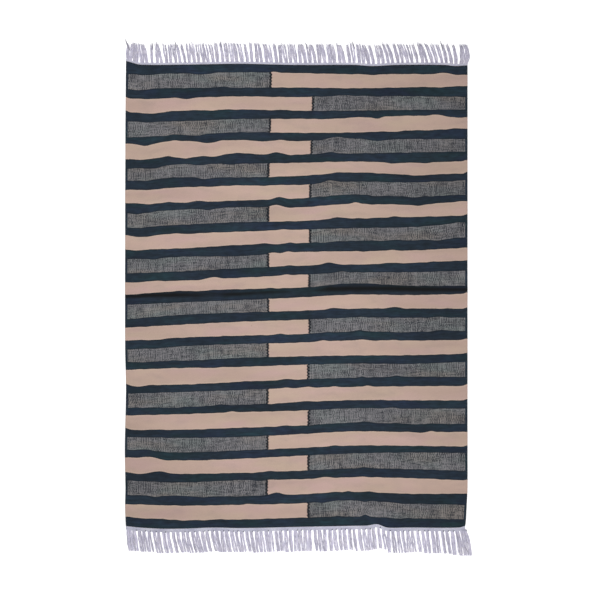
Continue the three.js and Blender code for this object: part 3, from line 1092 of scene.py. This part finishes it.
def calc(tree, operation, *terms):
    """One sum on sockets or numbers."""
    made = tree.nodes.new("ShaderNodeMath")
    made.operation = operation
    for place, term in enumerate(terms):
        feed(tree, made.inputs[place], term)
    return made.outputs[0]


def blend(tree, share, low, high):
    """A colour between two colours."""
    made = tree.nodes.new("ShaderNodeMix")
    made.data_type = "RGBA"
    first_color, second_color, color_output = 6, 7, 2
    feed(tree, made.inputs["Factor"], share)
    feed(tree, made.inputs[first_color], low)
    feed(tree, made.inputs[second_color], high)
    return made.outputs[color_output]


def use_group(tree, group, inputs):
    """Places a node group in a tree, and returns its outputs."""
    made = tree.nodes.new("ShaderNodeGroup")
    made.node_tree = group
    for name, value in inputs.items():
        feed(tree, made.inputs[name], value)
    return made.outputs


FLOAT = "NodeSocketFloat"
COLOR = "NodeSocketColor"
VECTOR = "NodeSocketVector"
print("node helpers ready")


# %% [markdown]
# More helpers make the variation that every dyed cotton has. One draws soft noise over a place in the weave,
# which mostly stays between `NOISE_LOW` and `NOISE_HIGH`. One stretches or cuts any value to the range that a
# finish needs, one does both, and one darkens or lightens a colour.

# %% Noise and range helpers
NOISE_LOW, NOISE_HIGH = 0.3, 0.7


def noise(tree, place, scale, stretch=(1, 1, 1), detail=2.0):
    """Soft noise over a place, with `scale` lumps to a metre, stretched along each direction."""
    stretched = add(tree, "ShaderNodeVectorMath", {0: place, 1: stretch}, operation="MULTIPLY")["Vector"]
    return add(tree, "ShaderNodeTexNoise", {"Vector": stretched, "Scale": scale, "Detail": detail})["Fac"]


def fit(tree, value, low, high, bottom=0.0, top=1.0):
    """Stretches a value's part between low and high to the range from bottom to top, and cuts the rest."""
    ends = {"Value": value, "From Min": low, "From Max": high, "To Min": bottom, "To Max": top}
    return add(tree, "ShaderNodeMapRange", ends)["Result"]


def mottle(tree, place, scale, stretch, bottom, top, detail=2.0):
    """Soft noise that runs from bottom to top."""
    return fit(tree, noise(tree, place, scale, stretch, detail), NOISE_LOW, NOISE_HIGH, bottom, top)


def shade(tree, color, amount):
    """Multiplies a colour by a number."""
    return add(tree, "ShaderNodeVectorMath", {0: color, "Scale": amount}, operation="SCALE")["Vector"]


# %% [markdown]
# ## Effects that several finishes share
# Hand-dyed yarn shifts in hue from one length to the next, cotton has a fine fuzz, and spun yarn is twisted.
# Each effect is a node group with named sockets, made once and placed in each material with its own values.
# A group gives out only colours and masks. The shader itself stays in the material.

# %% Dye drift group
drift_group, takes, gives = new_group(
    "dye drift",
    [
        ("Place", VECTOR, None),
        ("Patch Length", FLOAT, 0.08),
        ("Color", COLOR, None),
        ("First Shade", COLOR, None),
        ("Second Shade", COLOR, None),
        ("Amount", FLOAT, 1.0),
    ],
    [("Color", COLOR)],
)
patch_scale = calc(drift_group, "DIVIDE", 1.0, takes["Patch Length"])
first = fit(drift_group, noise(drift_group, takes["Place"], patch_scale, (1, 2.6, 1)), 0.46, 0.66)
second = fit(drift_group, noise(drift_group, takes["Place"], patch_scale, (-0.8, 3.1, 1)), 0.48, 0.68)
first = calc(drift_group, "MULTIPLY", first, takes["Amount"])
second = calc(drift_group, "MULTIPLY", second, takes["Amount"])
drifted = blend(drift_group, first, takes["Color"], takes["First Shade"])
feed(drift_group, gives["Color"], blend(drift_group, second, drifted, takes["Second Shade"]))
print(drift_group.name, "has", len(drift_group.nodes), "nodes")


def drifting(tree, place, patch_length, color, first_shade, second_shade):
    """A colour that drifts towards two shades of it, in patches of a length."""
    return use_group(tree, drift_group, {
        "Place": place, "Patch Length": patch_length, "Color": color, "First Shade": first_shade,
        "Second Shade": second_shade,
    })["Color"]


# %% Cotton fuzz group
fuzz_group, takes, gives = new_group(
    "cotton fuzz",
    [("Place", VECTOR, None), ("Size", FLOAT, 0.0006)],
    [("Fuzz", FLOAT), ("Roughness", FLOAT)],
)
fuzz_scale = calc(fuzz_group, "DIVIDE", 1.0, takes["Size"])
fuzz = noise(fuzz_group, takes["Place"], fuzz_scale, detail=3.0)
feed(fuzz_group, gives["Fuzz"], fuzz)
feed(fuzz_group, gives["Roughness"], fit(fuzz_group, fuzz, 0.3, 0.7, 0.82, 0.98))
print(fuzz_group.name, "has", len(fuzz_group.nodes), "nodes")

# %% Yarn twist group
twist_group, takes, gives = new_group(
    "yarn twist",
    [("Yarn", VECTOR, None), ("Twist Length", FLOAT, 0.006), ("Plies", FLOAT, 3.0)],
    [("Height", FLOAT), ("Shade", FLOAT)],
)
around = add(twist_group, "ShaderNodeSeparateXYZ", {"Vector": takes["Yarn"]})
turned = calc(twist_group, "ARCTAN2", around["Y"], around["X"])
twisted = calc(twist_group, "DIVIDE", around["Z"], takes["Twist Length"])
ply_phase = calc(twist_group, "MULTIPLY_ADD", twisted, 2 * math.pi, turned)
ply = calc(twist_group, "COSINE", calc(twist_group, "MULTIPLY", ply_phase, takes["Plies"]))
feed(twist_group, gives["Height"], fit(twist_group, ply, -1.0, 1.0))
feed(twist_group, gives["Shade"], fit(twist_group, ply, -1.0, 0.2, 0.72, 1.0))
print(twist_group.name, "has", len(twist_group.nodes), "nodes")

# %% [markdown]
# A weft-faced weave shows columns of small beads. Over one warp lie the even picks, over its neighbour the
# odd ones, so each column is half a bead out of step with the next. Beads this small would take millions of
# faces, so they are a height for a Bump node, and a shade that darkens the crevices. The group also gives
# the middle of each bead, so that a finish can give every bead one colour.

# %% Bead weave group
bead_group, takes, gives = new_group(
    "bead weave",
    [("Place", VECTOR, None), ("Warp Gap", FLOAT, 0.003), ("Bead Length", FLOAT, 0.0016)],
    [("Height", FLOAT), ("Shade", FLOAT), ("Middle", VECTOR)],
)
across_along = add(bead_group, "ShaderNodeSeparateXYZ", {"Vector": takes["Place"]})
warps = calc(bead_group, "DIVIDE", across_along["X"], takes["Warp Gap"])
beads = calc(bead_group, "DIVIDE", across_along["Y"], takes["Bead Length"])
warp_number = calc(bead_group, "FLOOR", warps)
half_out = calc(bead_group, "MULTIPLY", warp_number, 0.5)
bead_number = calc(bead_group, "FLOOR", calc(bead_group, "ADD", beads, half_out))
warp_phase = calc(bead_group, "MULTIPLY", warps, math.pi)
over_warp = calc(bead_group, "ABSOLUTE", calc(bead_group, "SINE", warp_phase))
bead_turn = calc(bead_group, "MULTIPLY", calc(bead_group, "ADD", beads, half_out), math.pi)
over_bead = calc(bead_group, "ABSOLUTE", calc(bead_group, "SINE", bead_turn))
bead = calc(bead_group, "MULTIPLY", calc(bead_group, "SQRT", over_warp), calc(bead_group, "SQRT", over_bead))
feed(bead_group, gives["Height"], bead)
feed(bead_group, gives["Shade"], fit(bead_group, bead, 0.0, 0.75, 0.62, 1.0))
middle_x = calc(bead_group, "MULTIPLY", calc(bead_group, "ADD", warp_number, 0.5), takes["Warp Gap"])
pick = calc(bead_group, "ADD", calc(bead_group, "SUBTRACT", bead_number, half_out), 0.5)
middle_y = calc(bead_group, "MULTIPLY", pick, takes["Bead Length"])
middle = add(bead_group, "ShaderNodeCombineXYZ", {"X": middle_x, "Y": middle_y, "Z": 0.0})["Vector"]
feed(bead_group, gives["Middle"], middle)
print(bead_group.name, "has", len(bead_group.nodes), "nodes")

# %% Specks group
specks_group, takes, gives = new_group(
    "specks",
    [("Place", VECTOR, None), ("Spacing", FLOAT, 0.08), ("Size", FLOAT, 0.0014)],
    [("Mask", FLOAT)],
)
speck_scale = calc(specks_group, "DIVIDE", 1.0, takes["Spacing"])
cells = add(specks_group, "ShaderNodeTexVoronoi", {"Vector": takes["Place"], "Scale": speck_scale})
speck_size = calc(specks_group, "MULTIPLY", takes["Size"], speck_scale)
feed(specks_group, gives["Mask"], calc(specks_group, "LESS_THAN", cells["Distance"], speck_size))
print(specks_group.name, "has", len(specks_group.nodes), "nodes")

# %% [markdown]
# ## Which yarn shows where
# The cloth's finish first works out what the weaver did at each place. The band number says whether a place
# is in a navy stripe or a light row, and which way round that row is. The weave place then says whether it
# is in the grey block or the beige. The wefts of two bands lock into each other like teeth, so the border
# between them steps by a fraction of a bead at every warp.

# %% Masks of the pattern
TOOTH = 0.01
BAND_MARGIN = 0.001
NAVY_BORDER = 0.008
JOIN_BORDER = 0.0066
JOIN_TOOTH = 0.004
JOIN_TOOTH_PITCH = 0.0108

cloth_material = bpy.data.materials.new("woven cotton")
cloth_material.use_nodes = True
tree = cloth_material.node_tree
weave = add(tree, "ShaderNodeAttribute", {}, attribute_name="weave")["Vector"]
band_number = add(tree, "ShaderNodeAttribute", {}, attribute_name="band")["Fac"]
fold_shade = add(tree, "ShaderNodeAttribute", {}, attribute_name="fold_shade")["Fac"]
weave_xy = add(tree, "ShaderNodeSeparateXYZ", {"Vector": weave})
across_weave, along_weave = weave_xy["X"], weave_xy["Y"]

warp_turn = calc(tree, "MULTIPLY", across_weave, math.pi / (WARP_GAP * MM))
toothed = calc(tree, "MULTIPLY_ADD", calc(tree, "SINE", warp_turn), TOOTH, band_number)
toothed = calc(tree, "MINIMUM", calc(tree, "MAXIMUM", toothed, BAND_MARGIN), BANDS - BAND_MARGIN)
whole_band = calc(tree, "FLOOR", toothed)
within = calc(tree, "FRACT", toothed)
from_side = calc(tree, "MINIMUM", within, calc(tree, "SUBTRACT", 1.0, within))
is_light = calc(tree, "MODULO", whole_band, 2.0)
quarter = calc(tree, "MODULO", whole_band, 4.0)
is_left_row = calc(tree, "COMPARE", quarter, 1.0, 0.5)

# %% Masks of the blocks
saw = calc(tree, "PINGPONG", along_weave, JOIN_TOOTH_PITCH / 2)
saw = fit(tree, saw, 0.15 * JOIN_TOOTH_PITCH, 0.35 * JOIN_TOOTH_PITCH, 0.0, JOIN_TOOTH)
into_left = calc(tree, "SUBTRACT", LEFT_JOIN * MM, calc(tree, "SUBTRACT", across_weave, saw))
into_right = calc(tree, "SUBTRACT", calc(tree, "ADD", across_weave, saw), RIGHT_JOIN * MM)
from_left = calc(tree, "ADD", across_weave, HALF_WIDTH * MM)
from_right = calc(tree, "SUBTRACT", HALF_WIDTH * MM, across_weave)


def by_row(left_value, right_value):
    """One value in the rows whose grey block is on the left, and another in the rest."""
    left_part = calc(tree, "MULTIPLY", is_left_row, left_value)
    right_part = calc(tree, "MULTIPLY", calc(tree, "SUBTRACT", 1.0, is_left_row), right_value)
    return calc(tree, "ADD", left_part, right_part)


into_block = by_row(into_left, into_right)
from_selvedge = by_row(from_left, from_right)
in_block = calc(tree, "GREATER_THAN", into_block, 0.0)
at_join = calc(tree, "LESS_THAN", into_block, JOIN_BORDER)
at_selvedge = calc(tree, "LESS_THAN", from_selvedge, NAVY_BORDER)
navy_in_block = calc(tree, "MAXIMUM", at_join, at_selvedge)
print("masks made,", len(tree.nodes), "nodes so far")

# %% [markdown]
# ## Navy weft
# The navy is dark, and drifts towards blue and green. It changes in three sizes: from pick to pick, in
# patches, and slowly from one batch of dyed yarn to the next. Along a stripe's edges, where its wefts dive
# under into the groove, it is darker: painted shade. It holds a few pale flecks.

# %% Navy weft
NAVY = dye(31, 44, 57)
NAVY_BLUE = dye(31, 43, 62)
NAVY_GREEN = dye(28, 49, 57)
NAVY_IN_SHADE = dye(18, 27, 38)
PALE_FLECK = dye(150, 150, 155)
PALE_FLECK_SHARE = 0.5
EDGE_WIDTH_OF_STRIPE = 0.14
EDGE_DARKNESS = 0.8
BATCH_SCALE = 3.2
BATCH_STRETCH = (1, 5, 1)

navy = drifting(tree, weave, 0.16, NAVY, NAVY_BLUE, NAVY_GREEN)
navy = shade(tree, navy, mottle(tree, weave, 30.0, (0.5, 14, 1), 0.75, 1.3))
navy = shade(tree, navy, mottle(tree, weave, 55.0, (0.7, 1.6, 1), 0.75, 1.26, detail=3.0))
navy = shade(tree, navy, mottle(tree, weave, BATCH_SCALE, BATCH_STRETCH, 0.76, 1.26))
# Painted shade: the navy darkens towards a stripe's edges, where its wefts dive into the groove.
navy_edge_shade = fit(tree, from_side, 0.0, EDGE_WIDTH_OF_STRIPE, EDGE_DARKNESS, 0.0)
navy_edge_shade = calc(tree, "MULTIPLY", navy_edge_shade, calc(tree, "SUBTRACT", 1.0, is_light))
navy = blend(tree, navy_edge_shade, navy, NAVY_IN_SHADE)
pale_flecks = use_group(tree, specks_group, {"Place": weave, "Spacing": 0.17, "Size": 0.0016})["Mask"]
navy = blend(tree, calc(tree, "MULTIPLY", pale_flecks, PALE_FLECK_SHARE), navy, PALE_FLECK)
print("navy weft done,", len(tree.nodes), "nodes so far")

# %% [markdown]
# ## Beige weft
# The beige is a warm, slightly pink undyed tone. It drifts towards pink, straw and grey in patches, and a
# little from batch to batch. It has a paler line where it meets a stripe, broken by tiny dark ticks, and
# holds a few dark specks of husk.

# %% Beige weft
BEIGE = dye(204, 176, 162)
BEIGE_PINK = dye(205, 174, 166)
BEIGE_STRAW = dye(204, 179, 161)
BEIGE_GREY = dye(185, 163, 153)
BEIGE_PALE = dye(222, 198, 180)
HUSK = dye(120, 100, 95)
GREY_PATCH_SHARE = 0.45
PALE_LINE = (0.02, 0.09)
PALE_LINE_SHARE = 0.55
TICK_REACH = 0.06
TICK_DARKNESS = 0.7
HUSK_DARKNESS = 0.8

beige = drifting(tree, weave, 0.18, BEIGE, BEIGE_PINK, BEIGE_STRAW)
grey_patches = fit(tree, noise(tree, weave, 16.0, (1, 2.2, 1)), 0.5, 0.75, 0.0, GREY_PATCH_SHARE)
beige = blend(tree, grey_patches, beige, BEIGE_GREY)
beige = shade(tree, beige, mottle(tree, weave, BATCH_SCALE, BATCH_STRETCH, 0.93, 1.07))
beige = blend(tree, fit(tree, from_side, *PALE_LINE, PALE_LINE_SHARE, 0.0), beige, BEIGE_PALE)
tick_places = fit(tree, noise(tree, weave, 130.0, (1, 0.3, 1)), 0.6, 0.66)
ticks = calc(tree, "MULTIPLY", tick_places, fit(tree, from_side, 0.0, TICK_REACH, TICK_DARKNESS, 0.0))
husks = use_group(tree, specks_group, {"Place": weave, "Spacing": 0.1, "Size": 0.0014})["Mask"]
husks = calc(tree, "MULTIPLY", husks, HUSK_DARKNESS)
beige = blend(tree, calc(tree, "MAXIMUM", ticks, husks), beige, HUSK)
print("beige weft done,", len(tree.nodes), "nodes so far")

# %% [markdown]
# ## Grey pinstriped blocks
# The grey is two yarns thrown by turns, one navy and one pale. Over one warp only the navy shows and over
# the next only the pale, so upright pinstripes appear, two warps wide. Where the weaver threw the same yarn
# twice, the pinstripes jump sideways, and in places they lean or fade. A table lists what breaks them up:
# streaks along single warps and slack ones, uneven picks, the tweed that a loose beat leaves, and the slow
# change from batch to batch. Each row has the scale and stretch of its noise and how far it tips the balance
# of the two yarns.

# %% Grey pinstripes
PALE_YARN = dye(144, 142, 145)
PALE_GREEN = dye(139, 145, 144)
PALE_BROWN = dye(150, 143, 138)
PIN_NAVY = dye(42, 46, 54)
PIN_TURN = 2 * math.pi / (2 * WARP_GAP * MM)
BEAD_LENGTH = 0.0016
EVEN_SHARE = 0.5
PIN_DEPTH = 0.62
PIN_CONTRAST = (0.12, 0.68)
RIM_REACH = 0.08
RIM_PALENESS = 0.16
WOVEN_MARKS = table(
    "scale stretch tips detail",
    (120.0, (1, 0.16, 1), 0.19, 1.0),
    (28.0, (1, 0.3, 1), 0.07, 1.0),
    (200.0, (0.16, 1, 1), 0.23, 1.0),
    (240.0, (0.9, 1.1, 1), 0.3, 1.0),
    (BATCH_SCALE, BATCH_STRETCH, 0.12, 2.0),
)

pale = drifting(tree, weave, 0.2, PALE_YARN, PALE_GREEN, PALE_BROWN)
relief = use_group(tree, bead_group, {"Place": weave, "Warp Gap": WARP_GAP * MM, "Bead Length": BEAD_LENGTH})
bead_place = relief["Middle"]
bead_xy = add(tree, "ShaderNodeSeparateXYZ", {"Vector": bead_place})
jump = calc(tree, "GREATER_THAN", noise(tree, bead_place, 14.0, (1, 6, 1), 1.0), 0.56)
lean_patch = fit(tree, noise(tree, bead_place, 22.0, (1, 1.6, 1)), 0.56, 0.6)
within_repeat = calc(tree, "MODULO", bead_xy["Y"], (NAVY_NOMINAL + LIGHT_NOMINAL) * MM)
within_row = calc(tree, "SUBTRACT", within_repeat, (NAVY_NOMINAL + LIGHT_NOMINAL / 2) * MM)
lean = calc(tree, "MULTIPLY", calc(tree, "MULTIPLY", within_row, lean_patch), PIN_TURN / 2)
pin_turn = calc(tree, "MULTIPLY_ADD", bead_xy["X"], PIN_TURN, calc(tree, "MULTIPLY", jump, math.pi))
pin = calc(tree, "SINE", calc(tree, "ADD", pin_turn, lean))
contrast = fit(tree, noise(tree, bead_place, 24.0, (1, 1.3, 1)), 0.36, 0.62, *PIN_CONTRAST)
pale_share = calc(tree, "MULTIPLY_ADD", calc(tree, "MULTIPLY", pin, contrast), PIN_DEPTH, EVEN_SHARE)
pale_share = calc(tree, "ADD", pale_share, fit(tree, from_side, 0.0, RIM_REACH, RIM_PALENESS, 0.0))
for mark in WOVEN_MARKS:
    tips = mark["tips"]
    tipped = mottle(tree, bead_place, mark["scale"], mark["stretch"], -tips, tips, mark["detail"])
    pale_share = calc(tree, "ADD", pale_share, tipped)
grey = blend(tree, fit(tree, pale_share, 0.0, 1.0), PIN_NAVY, pale)
print("grey blocks done,", len(tree.nodes), "nodes so far")

# %% [markdown]
# ## The cloth's finish
# The three yarns are put together by the masks. The navy along the upright joins is near black: painted
# shade in their crevices. The painted shade of the fold comes from the sheet, and the bead weave paints
# shade into the crevices and gives the bump. Cotton has next to no gloss: it is rough, with a faint sheen
# from its fuzz.

# %% Cloth shader
SHEEN = 0.12
GLOSS = 0.25
FOLD_DARKEST = 0.04
CLOTH_FUZZ = {"size": 0.0007, "height": 0.25}
CLOTH_BUMP = {"Strength": 0.7, "Distance": 0.0005}
# Painted shade: the navy along the upright joins is near black, for the shade in their crevices.
JOIN_NAVY_IN_SHADE = dye(12, 16, 24)
join_navy_in_shade = blend(tree, at_join, navy, JOIN_NAVY_IN_SHADE)
block_color = blend(tree, navy_in_block, grey, join_navy_in_shade)
row_color = blend(tree, in_block, beige, block_color)
cloth_color = blend(tree, is_light, navy, row_color)
cloth_color = shade(tree, cloth_color, fit(tree, fold_shade, 0.0, 1.0, 1.0, FOLD_DARKEST))
cloth_color = shade(tree, cloth_color, relief["Shade"])
cloth_fuzz = use_group(tree, fuzz_group, {"Place": weave, "Size": CLOTH_FUZZ["size"]})
cloth_height = calc(tree, "MULTIPLY_ADD", cloth_fuzz["Fuzz"], CLOTH_FUZZ["height"], relief["Height"])
cloth_bump = add(tree, "ShaderNodeBump", {"Height": cloth_height} | CLOTH_BUMP)


def cotton_shader(tree, color, roughness, normal):
    """Feeds the shader of a cotton, which stays in its own material."""
    shader = tree.nodes["Principled BSDF"].inputs
    shader["Sheen Weight"].default_value = SHEEN
    shader["Specular IOR Level"].default_value = GLOSS
    feed(tree, shader["Base Color"], color)
    feed(tree, shader["Roughness"], roughness)
    feed(tree, shader["Normal"], normal)


cotton_shader(tree, cloth_color, cloth_fuzz["Roughness"], cloth_bump["Normal"])
cloth.data.materials.append(cloth_material)
print("cloth finish has", len(tree.nodes), "nodes")

# %% [markdown]
# ## Yarn finishes
# All the loose yarn takes one kind of finish, made by a function with a colour and a twist of its own. The
# yarn's number makes some strands lighter than others, and the twist paints shade into the grooves between
# the plies. The near fringe takes a paler copy of the far one's finish, painted light for the end that lay
# nearer the light. The headings are cleaner and tighter, and the loose threads are a darker grey, painted
# shade on thin strands.

# %% Yarn finish
YARN_PATCH_LENGTH = 0.05
YARN_FUZZ = {"size": 0.0005, "height": 0.4}
YARN_BUMP = {"Strength": 0.6, "Distance": 0.0004}


def yarn_material(name, color, first_shade, second_shade, twist_length, spread):
    """A twisted cotton yarn of one colour."""
    made = bpy.data.materials.new(name)
    made.use_nodes = True
    tree = made.node_tree
    yarn = add(tree, "ShaderNodeAttribute", {}, attribute_name="yarn")["Vector"]
    number = add(tree, "ShaderNodeAttribute", {}, attribute_name="yarn_number")["Fac"]
    place = add(tree, "ShaderNodeTexCoord", {})["Object"]
    color = drifting(tree, place, YARN_PATCH_LENGTH, color, first_shade, second_shade)
    color = shade(tree, color, fit(tree, number, 0.0, 1.0, 1 - spread, 1 + spread))
    twist = use_group(tree, twist_group, {"Yarn": yarn, "Twist Length": twist_length})
    fuzz = use_group(tree, fuzz_group, {"Place": place, "Size": YARN_FUZZ["size"]})
    height = calc(tree, "MULTIPLY_ADD", fuzz["Fuzz"], YARN_FUZZ["height"], twist["Height"])
    bump = add(tree, "ShaderNodeBump", {"Height": height} | YARN_BUMP)
    cotton_shader(tree, shade(tree, color, twist["Shade"]), fuzz["Roughness"], bump["Normal"])
    return made


fringe_white = yarn_material(
    "undyed warp cotton", dye(213, 209, 229), dye(200, 197, 218), dye(222, 217, 233), 0.009, 0.22
)
# Painted light: a paler copy of the fringe's finish for the near end, which lay nearer the light.
near_fringe_lit_white = yarn_material(
    "near warp cotton in painted light", dye(221, 217, 237), dye(208, 205, 226), dye(230, 225, 241), 0.009, 0.22
)
heading_white = yarn_material(
    "undyed heading cotton", dye(219, 218, 236), dye(203, 202, 222), dye(230, 229, 243), 0.006, 0.08
)
navy_yarn = yarn_material("navy weft yarn", NAVY, NAVY_BLUE, NAVY_GREEN, 0.005, 0.15)
# Painted shade: the loose threads are a darker grey, for the shade on thin strands.
thread_grey_in_shade = yarn_material(
    "loose warp cotton in painted shade", dye(166, 163, 176), dye(150, 148, 162), dye(180, 177, 190), 0.009, 0.1
)
# The turns at the joins take a darker navy: painted shade in their crevices.
join_yarn_in_shade = yarn_material("shaded navy weft yarn", NAVY_IN_SHADE, NAVY_IN_SHADE, NAVY, 0.005, 0.2)
beige_yarn = yarn_material("beige weft yarn", BEIGE, BEIGE_PINK, BEIGE_STRAW, 0.005, 0.08)
finished = {
    fringe_white: (fringe_far, wisps_far),
    near_fringe_lit_white: (fringe_near, wisps_near),
    thread_grey_in_shade: (threads,),
    heading_white: (picks_far, picks_near, knots_near),
    navy_yarn: (navy_turns, shade_ends),
    join_yarn_in_shade: (joins,),
    beige_yarn: (beige_turns,),
}
for material, pieces in finished.items():
    for piece in pieces:
        piece.data.materials.append(material)
print(len(finished), "yarn finishes")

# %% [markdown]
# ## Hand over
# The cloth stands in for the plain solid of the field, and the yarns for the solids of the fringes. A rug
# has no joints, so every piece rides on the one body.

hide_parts("rug_field")
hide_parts("fringe_far")
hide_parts("fringe_near")
dyed_trims = (shade_ends, navy_turns, beige_turns, joins)
white_trims = (wisps_far, wisps_near, threads, picks_far, picks_near, knots_near)
trims = white_trims + dyed_trims
pieces = (cloth, fringe_far, fringe_near) + trims
for piece in pieces:
    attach(piece, "root")
for piece in pieces:
    print(piece.name, len(piece.data.loop_triangles), "triangles")

# %% Last update of the scene
bpy.context.view_layer.update()
